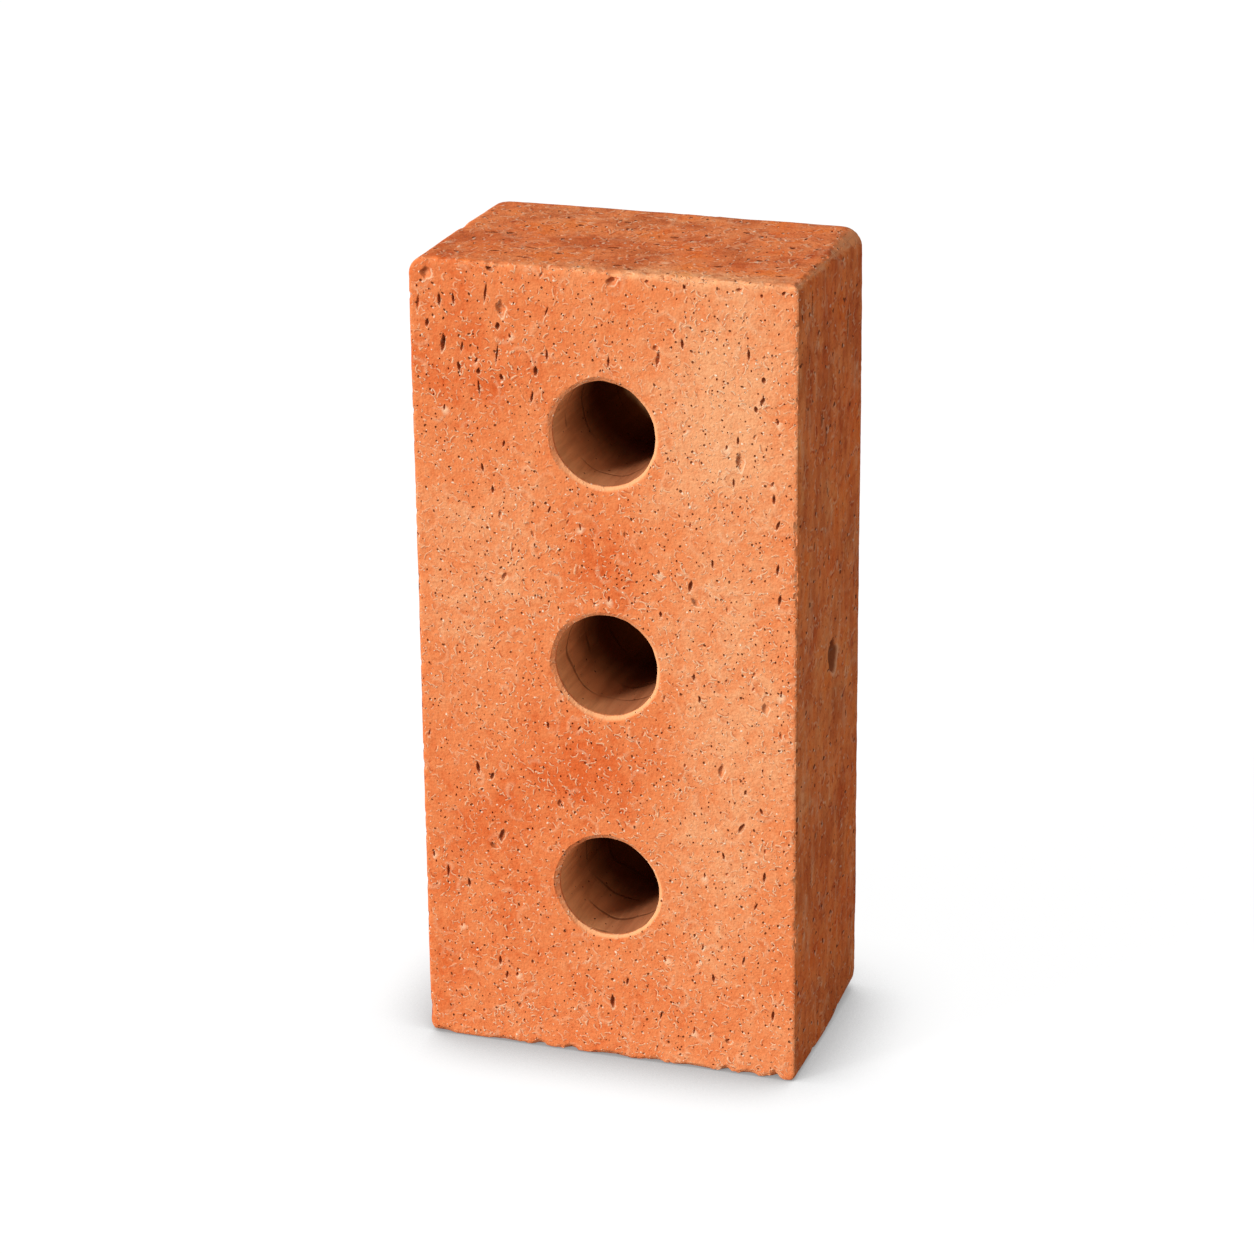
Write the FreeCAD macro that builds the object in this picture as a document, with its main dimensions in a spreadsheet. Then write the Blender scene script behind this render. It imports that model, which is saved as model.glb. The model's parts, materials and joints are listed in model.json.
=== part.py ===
import FreeCAD, Part
import os
import Sketcher

# Three-hole clay brick, standing on one header end.
#
# Frame: X runs across the bed face (brick width), Y through the brick along the holes (brick
# height as laid, front bed face at -Y), Z up along the brick's length. The origin is the
# middle of the header end that it stands on. All sizes are in millimetres.
#
# The clay column is extruded with its three core holes along Y and wire-cut to thickness, so
# the model is built the same way: outline, pad, holes, then the worn arrises and hole mouths.

# Driving dimensions: alias, value, what it is.
SIZES = [
    ("brick_length", 240.0, "along Z, from header to header"),
    ("brick_width", 114.0, "along X, across the bed face"),
    ("brick_thickness", 70.0, "along Y, from bed face to bed face"),
    ("core_diameter", 30.5, "bore of each core hole"),
    ("core_pitch", 69.0, "between the axes of neighbouring holes"),
    ("core_offset", 3.5, "of the middle hole, above mid-length"),
    ("core_count", 3, "holes in the row"),
    ("mouth_chamfer", 1.3, "broken lip round each hole mouth"),
    ("corner_radius", 5.0, "edges that run through the brick along Y"),
    ("front_arris_radius", 2.0, "edges round the front bed face"),
    ("back_arris_radius", 4.5, "edges round the back bed face"),
]

LENGTH_TOLERANCE = 1e-4


def make_sheet(doc):
    """The spreadsheet that holds the driving dimensions, one alias per row."""
    sheet = doc.addObject("Spreadsheet::Sheet", "sizes")
    for row, (alias, value, meaning) in enumerate(SIZES, start=1):
        sheet.set(f"A{row}", alias)
        sheet.set(f"B{row}", str(value))
        sheet.set(f"C{row}", meaning)
        sheet.setAlias(f"B{row}", alias)
    doc.recompute()
    return sheet


def origin_plane(body, role):
    """One of the body's own origin planes."""
    return next(o for o in body.Origin.OriginFeatures if o.Role == role)


def add_sketch(body, name):
    """A sketch on the body's XZ plane: sketch x is X, and sketch y is Z."""
    sketch = body.newObject("Sketcher::SketchObject", name)
    sketch.AttachmentSupport = (origin_plane(body, "XZ_Plane"), [""])
    sketch.MapMode = "FlatFace"
    return sketch


def constrain(sketch, name, constraint, expression):
    """Adds a named dimension to a sketch and binds it to the sheet."""
    index = sketch.addConstraint(constraint)
    sketch.renameConstraint(index, name)
    sketch.setExpression(f"Constraints.{name}", expression)


def draw_bed_outline(body, sheet):
    """The rectangle of the bed face, standing on Z = 0 and centred on X = 0."""
    sketch = add_sketch(body, "bed_outline")
    half, top = sheet.brick_width / 2, sheet.brick_length
    corners = [(-half, 0), (half, 0), (half, top), (-half, top)]
    points = [FreeCAD.Vector(x, z, 0) for x, z in corners]
    for start, end in zip(points, points[1:] + points[:1]):
        sketch.addGeometry(Part.LineSegment(start, end), False)
    for side in range(4):
        sketch.addConstraint(Sketcher.Constraint("Coincident", side, 2, (side + 1) % 4, 1))
    for side, direction in enumerate(["Horizontal", "Vertical", "Horizontal", "Vertical"]):
        sketch.addConstraint(Sketcher.Constraint(direction, side))
    origin, x_axis = (-1, 1), -1
    sketch.addConstraint(Sketcher.Constraint("PointOnObject", 0, 1, x_axis))
    constrain(sketch, "width", Sketcher.Constraint("DistanceX", 0, 1, 0, 2, 2 * half), "sizes.brick_width")
    constrain(sketch, "length", Sketcher.Constraint("DistanceY", 1, 1, 1, 2, top), "sizes.brick_length")
    constrain(
        sketch, "half_width", Sketcher.Constraint("DistanceX", *origin, 0, 2, half), "sizes.brick_width / 2"
    )
    return sketch


def pad_column(body, outline):
    """The wire-cut length of clay column, centred on Y = 0."""
    pad = body.newObject("PartDesign::Pad", "column")
    pad.Profile = outline
    pad.SideType = "Symmetric"
    pad.setExpression("Length", "sizes.brick_thickness")
    body.Document.recompute()
    return pad


def cut_core_holes(body, sheet):
    """The lowest core hole, cut right through, and the row of them up the brick."""
    sketch = add_sketch(body, "core_section")
    lowest = sheet.brick_length / 2 + sheet.core_offset - sheet.core_pitch
    radius = sheet.core_diameter / 2
    sketch.addGeometry(Part.Circle(FreeCAD.Vector(0, lowest, 0), FreeCAD.Vector(0, 0, 1), radius), False)
    y_axis = -2
    sketch.addConstraint(Sketcher.Constraint("PointOnObject", 0, 3, y_axis))
    constrain(
        sketch,
        "height",
        Sketcher.Constraint("DistanceY", -1, 1, 0, 3, lowest),
        "sizes.brick_length / 2 + sizes.core_offset - sizes.core_pitch",
    )
    constrain(sketch, "bore", Sketcher.Constraint("Diameter", 0, 2 * radius), "sizes.core_diameter")

    hole = body.newObject("PartDesign::Pocket", "core_hole")
    hole.Profile = sketch
    hole.SideType = "Symmetric"
    hole.setExpression("Length", "2 * sizes.brick_thickness")
    body.Document.recompute()

    row = body.newObject("PartDesign::LinearPattern", "core_row")
    row.Originals = [hole]
    row.Direction = (sketch, ["V_Axis"])
    row.setExpression("Length", "(sizes.core_count - 1) * sizes.core_pitch")
    row.setExpression("Occurrences", "sizes.core_count")
    body.Tip = row
    body.Document.recompute()
    return row


def edge_names(shape, wanted):
    """Names of the shape's edges for which wanted(edge) is true."""
    return [f"Edge{i}" for i, edge in enumerate(shape.Edges, start=1) if wanted(edge)]


def is_through_edge(edge):
    """A straight edge along Y, at a corner of the bed outline."""
    start, end = edge.Vertexes[0].Point, edge.Vertexes[-1].Point
    return isinstance(edge.Curve, Part.Line) and abs(start.y - end.y) > 1


def lies_at_y(edge, y):
    """Whether the whole edge is in the plane of that y."""
    box = edge.BoundBox
    return abs(box.YMin - y) < LENGTH_TOLERANCE and abs(box.YMax - y) < LENGTH_TOLERANCE


def is_mouth(edge, radius):
    """A whole circle of the core holes' radius."""
    return edge.Closed and isinstance(edge.Curve, Part.Circle) and abs(edge.Curve.Radius - radius) < 1e-3


def dress_edges(body, kind, name, base, wanted, size_property, alias):
    """A fillet or chamfer on the chosen edges, with its size bound to the sheet."""
    feature = body.newObject(f"PartDesign::{kind}", name)
    feature.Base = (base, edge_names(base.Shape, wanted))
    feature.setExpression(size_property, f"sizes.{alias}")
    body.Tip = feature
    body.Document.recompute()
    return feature


def build_brick(doc, sheet):
    """The brick, one fired piece."""
    body = doc.addObject("PartDesign::Body", "brick")
    body.Label = "brick"
    pad_column(body, draw_bed_outline(body, sheet))
    row = cut_core_holes(body, sheet)

    half = sheet.brick_thickness / 2
    radius = sheet.core_diameter / 2
    corners = dress_edges(body, "Fillet", "corners", row, is_through_edge, "Radius", "corner_radius")
    front = dress_edges(
        body, "Fillet", "front_arris", corners,
        lambda edge: lies_at_y(edge, -half) and not is_mouth(edge, radius), "Radius", "front_arris_radius",
    )
    back = dress_edges(
        body, "Fillet", "back_arris", front,
        lambda edge: lies_at_y(edge, half) and not is_mouth(edge, radius), "Radius", "back_arris_radius",
    )
    dress_edges(
        body, "Chamfer", "hole_mouths", back,
        lambda edge: is_mouth(edge, radius), "Size", "mouth_chamfer",
    )
    return body


def check(doc, bodies):
    """Stops if any object failed, or a sub-part has no valid shape."""
    for obj in doc.Objects:
        if {"Invalid", "Error"} & set(obj.State):
            raise RuntimeError(f"{obj.Name} failed: {obj.State}")
    for body in bodies:
        if body.Shape.isNull() or not body.Shape.isValid():
            raise RuntimeError(f"{body.Label} has no valid shape")


def main():
    doc = FreeCAD.newDocument("three_hole_brick")
    sheet = make_sheet(doc)
    bodies = [build_brick(doc, sheet)]
    doc.recompute()
    check(doc, bodies)

    os.makedirs("parts", exist_ok=True)
    for body in bodies:
        body.Shape.exportStep(f"parts/{body.Label}.step")
        box = body.Shape.BoundBox
        print(
            f"{body.Label}: {len(body.Shape.Solids)} solid, {body.Shape.Volume:.0f} mm3, "
            f"X {box.XMin:.2f}..{box.XMax:.2f}, Y {box.YMin:.2f}..{box.YMax:.2f}, Z {box.ZMin:.2f}..{box.ZMax:.2f}"
        )


main()
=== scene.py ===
"""A three-hole clay brick on its end: its worn edges, wire-cut pores, hole mouths and fired clay finish.

The brick is one fired piece, so it is one mesh. The mesh is laid out on the sharp-edged block, face by face, with
its points set close together where there is a pore, a chip or an arris. The points are then settled on to the worn
brick. Lengths in this file are in millimetres until the mesh is handed to Blender, which works in metres.
"""

import json
import logging
import math
from dataclasses import dataclass, field
from enum import Enum

import bpy
import numpy as np
from mathutils import Matrix, Vector
from mathutils.geometry import delaunay_2d_cdt


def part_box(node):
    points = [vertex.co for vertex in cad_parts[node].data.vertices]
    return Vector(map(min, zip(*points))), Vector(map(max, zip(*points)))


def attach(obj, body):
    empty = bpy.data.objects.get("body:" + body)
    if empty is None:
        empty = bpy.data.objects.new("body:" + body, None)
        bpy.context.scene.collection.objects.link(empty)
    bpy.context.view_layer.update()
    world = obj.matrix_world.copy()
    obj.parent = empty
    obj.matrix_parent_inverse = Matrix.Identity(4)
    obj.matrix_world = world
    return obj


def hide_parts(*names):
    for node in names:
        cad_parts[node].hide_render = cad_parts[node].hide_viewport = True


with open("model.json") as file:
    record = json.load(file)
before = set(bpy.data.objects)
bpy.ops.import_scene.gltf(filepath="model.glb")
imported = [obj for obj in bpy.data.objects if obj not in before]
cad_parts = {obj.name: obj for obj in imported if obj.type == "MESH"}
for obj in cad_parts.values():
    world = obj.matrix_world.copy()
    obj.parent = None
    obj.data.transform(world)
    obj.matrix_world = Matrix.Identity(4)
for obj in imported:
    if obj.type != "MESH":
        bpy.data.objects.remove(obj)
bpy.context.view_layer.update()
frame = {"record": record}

MM = 0.001
PER_METRE = 1000.0
NODE = "brick"
BODY = "root"
SHEET = "faces_flat"
BAKE_SHEET = "OFBake"
SHEET_SIDE = 384.0

log = logging.getLogger("brick")


def smooth_step(x: np.ndarray) -> np.ndarray:
    """An S-curve from 0 to 1 over x from 0 to 1, and flat outside that."""
    t = np.clip(x, 0.0, 1.0)
    return t * t * (3.0 - 2.0 * t)


def unit(v: np.ndarray) -> np.ndarray:
    """Rows of v scaled to length 1."""
    return v / np.maximum(np.linalg.norm(v, axis=-1, keepdims=True), 1e-12)


class LatticeNoise:
    """Smooth seeded noise from -1 to 1, from random values on a wrapped cubic lattice."""

    SIDE = 32

    def __init__(self, seed: int) -> None:
        """Args: seed: picks the lattice values."""
        self.values = np.random.default_rng(seed).uniform(-1.0, 1.0, (self.SIDE,) * 3)

    def at(self, points: np.ndarray, wavelength: float) -> np.ndarray:
        """One octave of noise.

        Args:
            points: n by 3 positions.
            wavelength: distance between lattice points, in the same unit.

        Returns:
            n values from -1 to 1.
        """
        scaled = points / wavelength
        cell = np.floor(scaled).astype(int)
        part = smooth_step(scaled - cell)
        total = np.zeros(len(points))
        for corner in np.ndindex(2, 2, 2):
            index = (cell + corner) % self.SIDE
            weight = np.prod(np.where(corner, part, 1.0 - part), axis=1)
            total += weight * self.values[index[:, 0], index[:, 1], index[:, 2]]
        return total


class Side(Enum):
    """The six faces of the brick."""

    FRONT = "front"
    BACK = "back"
    RIGHT = "right"
    LEFT = "left"
    TOP = "top"
    BOTTOM = "bottom"


BEDS = (Side.FRONT, Side.BACK)

# Where each face lies on one flat square sheet, SHEET_SIDE millimetres across: its lower left corner.
SHEET_PLACES = {
    Side.FRONT: (3.0, 2.0), Side.BACK: (120.0, 2.0), Side.RIGHT: (237.0, 2.0), Side.LEFT: (310.0, 2.0),
    Side.TOP: (3.0, 245.0), Side.BOTTOM: (120.0, 245.0),
}
HOLE_PLACES = ((237.0, 245.0), (3.0, 314.0), (103.0, 318.0))

# Pores and curls are stretched by the die on the sides and by the wire on the ends: the clay's own sheet is
# squeezed there, so that the marks drawn on it come out longer.
SQUEEZE = {
    Side.FRONT: (1.0, 1.0), Side.BACK: (1.0, 1.0), Side.RIGHT: (0.42, 0.55), Side.LEFT: (0.72, 0.85),
    Side.TOP: (0.74, 0.5), Side.BOTTOM: (0.74, 0.5),
}


@dataclass(frozen=True)
class FacePlane:
    """One flat face of the sharp-edged block, with its own u and v axes. Their cross product points out."""

    side: Side
    origin: np.ndarray
    u_axis: np.ndarray
    v_axis: np.ndarray
    width: float
    height: float

    @property
    def normal(self) -> np.ndarray:
        """The outward normal."""
        return np.cross(self.u_axis, self.v_axis)

    def lift(self, uv: np.ndarray) -> np.ndarray:
        """Positions in space of n by 2 face coordinates."""
        return self.origin + uv[:, :1] * self.u_axis + uv[:, 1:] * self.v_axis

    def flatten(self, points: np.ndarray) -> np.ndarray:
        """Face coordinates of n by 3 positions."""
        rel = points - self.origin
        return np.stack([rel @ self.u_axis, rel @ self.v_axis], axis=1)


class PitShape(Enum):
    """How a pore is shaped.

    Each value has the exponent of the outline, where 2 is an ellipse and 1 a diamond, the share of the half-width
    that the wall slopes over, how much painted shade darkens the pit all over, and how much more painted shadow it
    gets at the upper left, the side turned away from the light.
    """

    ROUND = (2.0, 0.5, 0.80, 0.10)
    SLIT = (1.5, 0.62, 0.42, 0.46)
    GOUGE = (1.15, 0.9, 0.08, 0.50)
    HOLLOW = (1.6, 0.3, 0.85, 0.15)


@dataclass(frozen=True)
class Pit:
    """A pore or gouge in one face. Lengths are half-lengths, and angle is anticlockwise from the face's v axis."""

    u: float
    v: float
    along: float
    across: float
    angle: float
    depth: float
    shape: PitShape = PitShape.ROUND
    wobble: float = 0.0

    @property
    def reach(self) -> float:
        """How far the pit can extend from its middle."""
        return max(self.along, self.across) * (1.0 + 0.6 * self.wobble)

    def outline(self, theta: np.ndarray) -> np.ndarray:
        """Radius of the uneven outline at each angle, in shares of the half-lengths."""
        power = self.shape.value[0]
        even = (np.abs(np.cos(theta)) ** power + np.abs(np.sin(theta)) ** power) ** (-1.0 / power)
        phase = 13.7 * self.u + 5.3 * self.v
        uneven = 0.6 * np.sin(2 * theta + phase) + 0.4 * np.sin(5 * theta + 2.1 * phase)
        return even * (1.0 + self.wobble * uneven)

    def local(self, uv: np.ndarray) -> np.ndarray:
        """n by 2 face coordinates as shares of the half-lengths, along then across."""
        c, s = math.cos(self.angle), math.sin(self.angle)
        right, up = (uv - (self.u, self.v)).T
        return np.stack([(up * c - right * s) / self.along, (right * c + up * s) / self.across], axis=1)

    def points(self, step: float) -> np.ndarray:
        """Mesh points that carry the pit: rings inside the outline, and its floor.

        Args:
            step: wanted distance between neighbouring points on the rim.

        Returns:
            n by 2 face coordinates.
        """
        c, s = math.cos(self.angle), math.sin(self.angle)
        girth = math.pi * (1.5 * (self.along + self.across) - math.sqrt(self.along * self.across))
        count = max(6, round(girth / step))
        rings = [np.zeros((1, 2))]
        for level, share in ((1.3, 1.0), (1.04, 1.0), (0.9, 1.0), (0.66, 0.8), (0.34, 0.5)):
            if level in (1.3, 0.9, 0.34) and self.along * self.across < 0.4:
                continue
            n = max(5, round(count * share))
            theta = (np.arange(n) + 0.37 * share) * 2 * math.pi / n
            radius = level * self.outline(theta)
            a, b = radius * np.cos(theta) * self.along, radius * np.sin(theta) * self.across
            rings.append(np.stack([self.u - a * s + b * c, self.v + a * c + b * s], axis=1))
        rings[0][0] = (self.u, self.v)
        return np.vstack(rings)

    def share_out(self, uv: np.ndarray) -> np.ndarray:
        """How far each place is from the middle of the pit, where 1 is its outline."""
        local = self.local(uv)
        return np.hypot(local[:, 0], local[:, 1]) / self.outline(np.arctan2(local[:, 1], local[:, 0]))

    def rim(self, uv: np.ndarray) -> np.ndarray:
        """How much each place is on the pit's lower right lip, the side that faces the light: a painted highlight.
        """
        lip = np.exp(-(((self.share_out(uv) - 1.06) / 0.13) ** 2))
        return lip * smooth_step((unit(uv - (self.u, self.v)) @ (0.8, -0.6) + 0.1) / 0.7)

    def shade(self, uv: np.ndarray) -> np.ndarray:
        """How much painted shade darkens each place: all over the pit, up to its outline, and most at the upper
        left, the side turned away from the light.
        """
        even, more = self.shape.value[2:]
        shadow_side = smooth_step(0.4 + 1.3 * (self.local(uv) @ (0.6, -0.8)))
        return (even + more * shadow_side) * smooth_step((1.03 - self.share_out(uv)) / 0.16)

    def sink(self, uv: np.ndarray) -> np.ndarray:
        """How deep the pit is at each place, as a share of its depth."""
        q = self.share_out(uv)
        return 0.9 * smooth_step((1.02 - q) / self.shape.value[1]) + 0.1 * smooth_step(1.0 - q)


@dataclass(frozen=True)
class Chip:
    """A piece lost from an edge: a flat facet across the corner, with blunt ends."""

    at: float
    half: float
    depth: float
    bluntness: float = 3.0


def chips(*rows: tuple[float, ...]) -> tuple[Chip, ...]:
    """Chips from rows of place, half-length, depth and, where it differs, bluntness."""
    return tuple(Chip(*row) for row in rows)


@dataclass(frozen=True)
class BlockEdge:
    """One edge of the sharp-edged block, with the chips it has lost. Chips are placed by distance from start."""

    start: np.ndarray
    along: np.ndarray
    outward: np.ndarray
    chips: tuple[Chip, ...]
    roughness: float


@dataclass
class SurfacePatch:
    """Part of the skin, not yet welded to the rest: points, triangles and their corners on the sheet."""

    points: np.ndarray
    triangles: np.ndarray
    sheet: np.ndarray
    side: int


@dataclass
class ClayBrick:
    """The brick: one fired piece with a row of holes."""

    width: float
    thickness: float
    length: float
    bores: list[tuple[float, float]]
    bore_radius: float
    seed: int = 41

    mouth_width: float = 1.35
    mouth_points: int = 132
    edge_step: float = 1.3
    edge_rows: tuple[float, ...] = (0.45, 0.95, 1.55, 2.3, 3.2)
    front_arris: float = 1.25
    back_arris: float = 5.6
    warp: float = 0.34
    pit_margin: float = 2.6
    pit_gap: float = 0.35
    pits: dict[Side, list[Pit]] = field(default_factory=dict)

    def faces(self) -> list[FacePlane]:
        """The six faces of the sharp-edged block."""
        w, t, h = self.width / 2, self.thickness / 2, self.length
        x, y, z = np.eye(3)
        return [
            FacePlane(Side.FRONT, np.array([-w, -t, 0]), x, z, 2 * w, h),
            FacePlane(Side.BACK, np.array([w, t, 0]), -x, z, 2 * w, h),
            FacePlane(Side.RIGHT, np.array([w, -t, 0]), y, z, 2 * t, h),
            FacePlane(Side.LEFT, np.array([-w, t, 0]), -y, z, 2 * t, h),
            FacePlane(Side.TOP, np.array([-w, -t, h]), x, y, 2 * w, 2 * t),
            FacePlane(Side.BOTTOM, np.array([-w, t, 0]), x, -y, 2 * w, 2 * t),
        ]

    # ---- the hole mouths

    def hole_centres(self, face: FacePlane) -> np.ndarray:
        """Face coordinates of the holes that open in a face: n by 2, with no rows outside the beds."""
        if face.side not in BEDS:
            return np.empty((0, 2))
        return face.flatten(np.array([[x, 0.0, z] for x, z in self.bores]))

    def circle(self) -> tuple[np.ndarray, np.ndarray]:
        """Angles going round from +X towards +Z, and places at them on a circle of radius 1."""
        theta = np.arange(self.mouth_points) * 2 * math.pi / self.mouth_points
        return theta, np.stack([np.cos(theta), np.zeros_like(theta), np.sin(theta)], axis=1)

    def mouth_ring(self, bore: int, side: Side, inner: bool) -> np.ndarray:
        """One uneven circle of a hole's mouth.

        Args:
            bore: which hole, from the lowest.
            side: the bed face that it opens in.
            inner: the inner edge of the broken lip, where the straight wall starts, or its outer edge.

        Returns:
            n by 3 positions, going round from +X towards +Z.
        """
        cx, cz = self.bores[bore]
        theta, ring = self.circle()
        noise = LatticeNoise(self.seed + 7 * bore + (3 if side is Side.BACK else 0))
        fine, coarse = noise.at(ring * self.bore_radius, 2.2), noise.at(ring * self.bore_radius + 50, 7.0)
        facet = np.abs(((theta * (2.1 + 0.3 * bore) + bore) / math.pi) % 1.0 - 0.5) * 2
        if inner:
            radius = self.bore_radius + 0.1 + 0.10 * fine + 0.16 * coarse
            depth = 0.75 * self.mouth_width * (1.0 + 0.25 * coarse)
        else:
            radius = self.bore_radius + self.mouth_width + 0.12 * fine + 0.30 * coarse + 0.25 * (facet - 0.5)
            depth = np.zeros_like(theta)
        sign = -1.0 if side is Side.FRONT else 1.0
        ring = ring * radius[:, None] + (cx, 0.0, cz)
        ring[:, 1] = sign * (self.thickness / 2 - depth)
        return ring

    def bore_patch(self, bore: int) -> SurfacePatch:
        """The broken lips and the straight wall of one hole, from front to back."""
        outer_front, inner_front = (self.mouth_ring(bore, Side.FRONT, inner) for inner in (False, True))
        outer_back, inner_back = (self.mouth_ring(bore, Side.BACK, inner) for inner in (False, True))
        cx, cz = self.bores[bore]
        wall = self.circle()[1] * self.bore_radius
        wall += (cx, 0.0, cz)
        rings = [outer_front, 0.5 * (outer_front + inner_front), inner_front]
        half = self.thickness / 2 - self.mouth_width
        stations = np.concatenate([[0.012, 0.03, 0.06], np.linspace(0.1, 0.9, 27), [0.94, 0.97, 0.988]])
        for share in stations:
            ring = wall.copy()
            ring[:, 1] = -half + 2 * half * share
            near = inner_front if share < 0.5 else inner_back
            hold = smooth_step(np.array([1.0 - min(share, 1 - share) / 0.09]))[0]
            ring[:, [0, 2]] += hold * 0.8 * (near - wall)[:, [0, 2]]
            ring[:, 1] += hold * (near[:, 1] - math.copysign(half, share - 0.5))
            rings.append(ring)
        rings += [inner_back, 0.5 * (outer_back + inner_back), outer_back]
        n = self.mouth_points
        columns = np.arange(n)
        quads, corners = [], []
        gaps = [np.linalg.norm(b - a, axis=1).mean() for a, b in zip(rings, rings[1:])]
        reach = np.concatenate([[0.0], np.cumsum(gaps)])
        arc = 2 * math.pi * self.bore_radius / n
        for row in range(len(rings) - 1):
            a, b = row * n + columns, row * n + (columns + 1) % n
            quads.append(np.stack([a, b, b + n, a + n], axis=1))
            low, high = np.full(n, reach[row]), np.full(n, reach[row + 1])
            left, right = columns * arc, (columns + 1) * arc
            square = ((left, low), (right, low), (right, high), (left, high))
            corners.append(np.stack([np.stack(corner, 1) for corner in square], 1))
        quads, corners = np.vstack(quads), np.vstack(corners) + HOLE_PLACES[bore]
        triangles = np.vstack([quads[:, [0, 1, 2]], quads[:, [0, 2, 3]]])
        sheet = np.vstack([corners[:, [0, 1, 2]], corners[:, [0, 2, 3]]])
        return SurfacePatch(np.vstack(rings), triangles, sheet, len(Side))

    # ---- pores

    def marked_pits(self) -> dict[Side, list[Pit]]:
        """The larger pores and gouges that give the brick its character, given one by one."""
        slit, gouge, hollow = PitShape.SLIT, PitShape.GOUGE, PitShape.HOLLOW
        front = (
            (97.0, 188.5, 3.2, 1.4, 0.05, 1.0, gouge, 0.12), (96.4, 194.5, 1.3, 0.4, 0.0, 1.0, slit, 0.1),
            (73.4, 216.0, 2.8, 0.8, -0.15, 1.1, gouge, 0.20), (72.8, 219.2, 1.2, 1.0, 0.5, 0.8, gouge, 0.2),
            (27.0, 147.5, 1.6, 1.1, -0.3, 0.9, gouge, 0.15), (91.5, 95.5, 2.5, 1.2, -0.05, 0.9, gouge, 0.12),
            (104.5, 116.0, 2.3, 1.2, 0.15, 0.8, gouge, 0.15), (42.6, 79.5, 1.5, 1.0, 0.2, 1.0, gouge, 0.15),
            (24.5, 67.0, 2.3, 0.9, -0.15, 1.0, slit, 0.2), (22.0, 63.4, 1.8, 1.1, 1.1, 0.8, gouge, 0.2),
            (97.5, 78.5, 2.1, 0.7, -0.5, 0.9, slit, 0.15), (82.5, 150.5, 2.3, 0.6, -0.15, 1.1, slit, 0.2),
            (84.0, 145.8, 1.9, 1.2, 0.9, 0.6, gouge, 0.2), (27.6, 226.8, 2.9, 1.7, 0.0, 0.8, gouge, 0.25),
            (26.6, 221.7, 1.2, 0.75, 0.1, 1.3, slit, 0.15), (26.2, 213.5, 3.2, 0.35, -0.12, 0.6, slit, 0.1),
            (10.2, 215.5, 2.9, 0.75, -0.08, 1.5, slit, 0.2), (14.8, 209.0, 1.7, 0.5, 0.08, 1.2, slit, 0.2),
            (15.8, 214.8, 1.9, 0.35, -0.2, 0.6, slit, 0.2), (20.6, 208.0, 0.9, 0.75, 0.0, 1.2, slit, 0.15),
            (20.6, 203.4, 2.6, 0.32, 0.05, 1.0, slit, 0.15), (20.0, 211.2, 1.1, 0.35, -0.4, 0.8, slit, 0.15),
            (37.6, 209.5, 1.8, 0.6, -0.05, 1.3, slit, 0.2), (36.3, 201.8, 1.9, 0.42, -0.2, 1.0, slit, 0.2),
            (27.4, 206.9, 1.0, 0.6, 0.35, 1.2, slit, 0.2), (13.6, 228.6, 2.0, 0.38, 0.02, 0.8, slit, 0.2),
            (9.4, 228.0, 2.4, 0.45, 0.04, 1.0, slit, 0.2), (23.2, 231.0, 3.2, 0.4, -0.14, 0.6, slit, 0.1),
            (5.6, 221.0, 1.5, 0.55, -0.2, 1.0, slit, 0.2), (3.0, 226.5, 3.4, 0.6, -0.12, 0.6, gouge, 0.1),
            (41.0, 214.5, 1.7, 0.4, 0.0, 0.7, slit, 0.2), (59.0, 214.0, 1.7, 0.4, -0.05, 0.7, slit, 0.2),
            (17.5, 87.6, 2.0, 0.6, 0.2, 1.1, slit, 0.15), (21.8, 85.4, 1.3, 0.6, -0.3, 1.0, slit, 0.15),
            (58.0, 18.0, 2.7, 0.7, 0.0, 1.1, slit, 0.2), (23.0, 26.5, 1.6, 0.5, 0.0, 1.0, slit, 0.1),
            (7.3, 53.5, 2.2, 0.4, 0.0, 0.9, slit, 0.1), (13.8, 50.5, 1.8, 0.42, 0.1, 0.9, slit, 0.1),
            (104.3, 64.0, 1.8, 0.5, -0.1, 1.0, slit, 0.1), (108.6, 149.0, 1.8, 0.55, -0.2, 1.0, slit, 0.15),
            (108.0, 158.0, 2.1, 0.42, -0.1, 0.8, slit, 0.1), (108.0, 171.0, 1.8, 0.5, -0.35, 0.9, slit, 0.15),
            (99.5, 219.5, 1.8, 0.42, 0.05, 1.0, slit, 0.1), (103.5, 206.5, 1.5, 0.6, -0.3, 1.0, slit, 0.15),
            (101.6, 204.0, 1.1, 0.6, 0.2, 1.0, slit, 0.1), (106.8, 178.5, 1.6, 0.5, 0.0, 1.0, slit, 0.1),
            (103.8, 212.5, 1.1, 0.7, 0.0, 1.0, slit, 0.1), (80.5, 221.0, 1.7, 0.42, 0.1, 0.9, slit, 0.1),
            (107.0, 20.5, 2.0, 0.5, -0.1, 0.9, slit, 0.1), (93.5, 10.2, 1.0, 1.4, 0.0, 1.0, gouge, 0.2),
            (89.0, 30.0, 1.4, 0.5, 0.1, 0.9, slit, 0.1), (5.6, 235.4, 2.6, 1.7, -0.15, 1.1, gouge, 0.25),
            (24.6, 238.0, 0.7, 1.4, -0.25, 1.2, slit, 0.2), (60.4, 237.4, 1.7, 2.2, 0.3, 1.6, gouge, 0.2),
            (70.5, 237.9, 0.6, 1.0, 0.3, 0.8, gouge, 0.35), (81.2, 237.2, 0.7, 0.6, 0.6, 0.9, slit, 0.35),
            (96.8, 237.6, 0.7, 1.2, 0.35, 1.0, gouge, 0.35), (103.2, 236.4, 0.6, 0.5, 0.0, 0.8, slit, 0.3),
            (109.4, 237.6, 0.8, 0.5, -0.4, 0.9, slit, 0.35),
        )
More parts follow.
